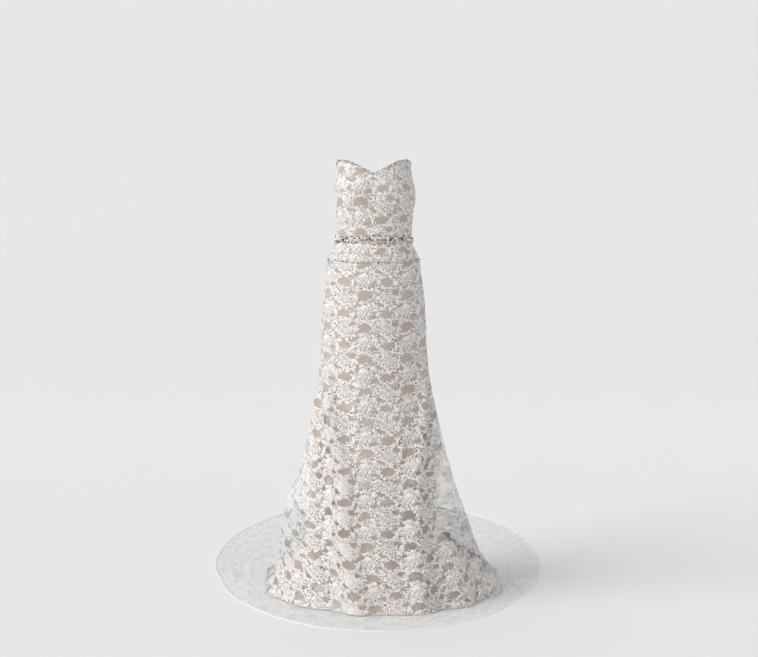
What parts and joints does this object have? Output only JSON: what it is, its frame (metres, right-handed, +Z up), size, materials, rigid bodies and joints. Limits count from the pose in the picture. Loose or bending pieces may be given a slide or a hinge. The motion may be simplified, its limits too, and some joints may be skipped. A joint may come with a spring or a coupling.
{
  "type": "wedding dress",
  "caption": "Strapless sweetheart lace wedding dress with a beaded belt, a fitted skirt that flares to the floor, and an oval lace train.",
  "frame": {"origin": "middle of the waist, at half the belt's height, where the wearer holds the dress up", "axes": "+Z up; the front of the dress faces -Y and its train runs towards +Y; +X is to the right for someone who looks at the front"},
  "size_m": [1.156, 1.733, 1.3889],
  "materials": {
    "lace": "matt white floral lace",
    "lining": "satin champagne lining",
    "beading": "silver beads and stones"
  },
  "bodies": {
    "root": {"bodice_back_left": "lace", "bodice_side_back_left": "lace", "bodice_side_front_left": "lace", "bodice_centre_front": "lace", "bodice_side_front_right": "lace", "bodice_side_back_right": "lace", "bodice_back_right": "lace", "belt": "beading", "neckline_trim": "beading", "bodice_hem_trim": "beading", "lining_front": "lining", "lining_back": "lining", "lace_skirt_front": "lace", "lace_skirt_back": "lace", "train_edging": "lace"}
  },
  "joints": []
}
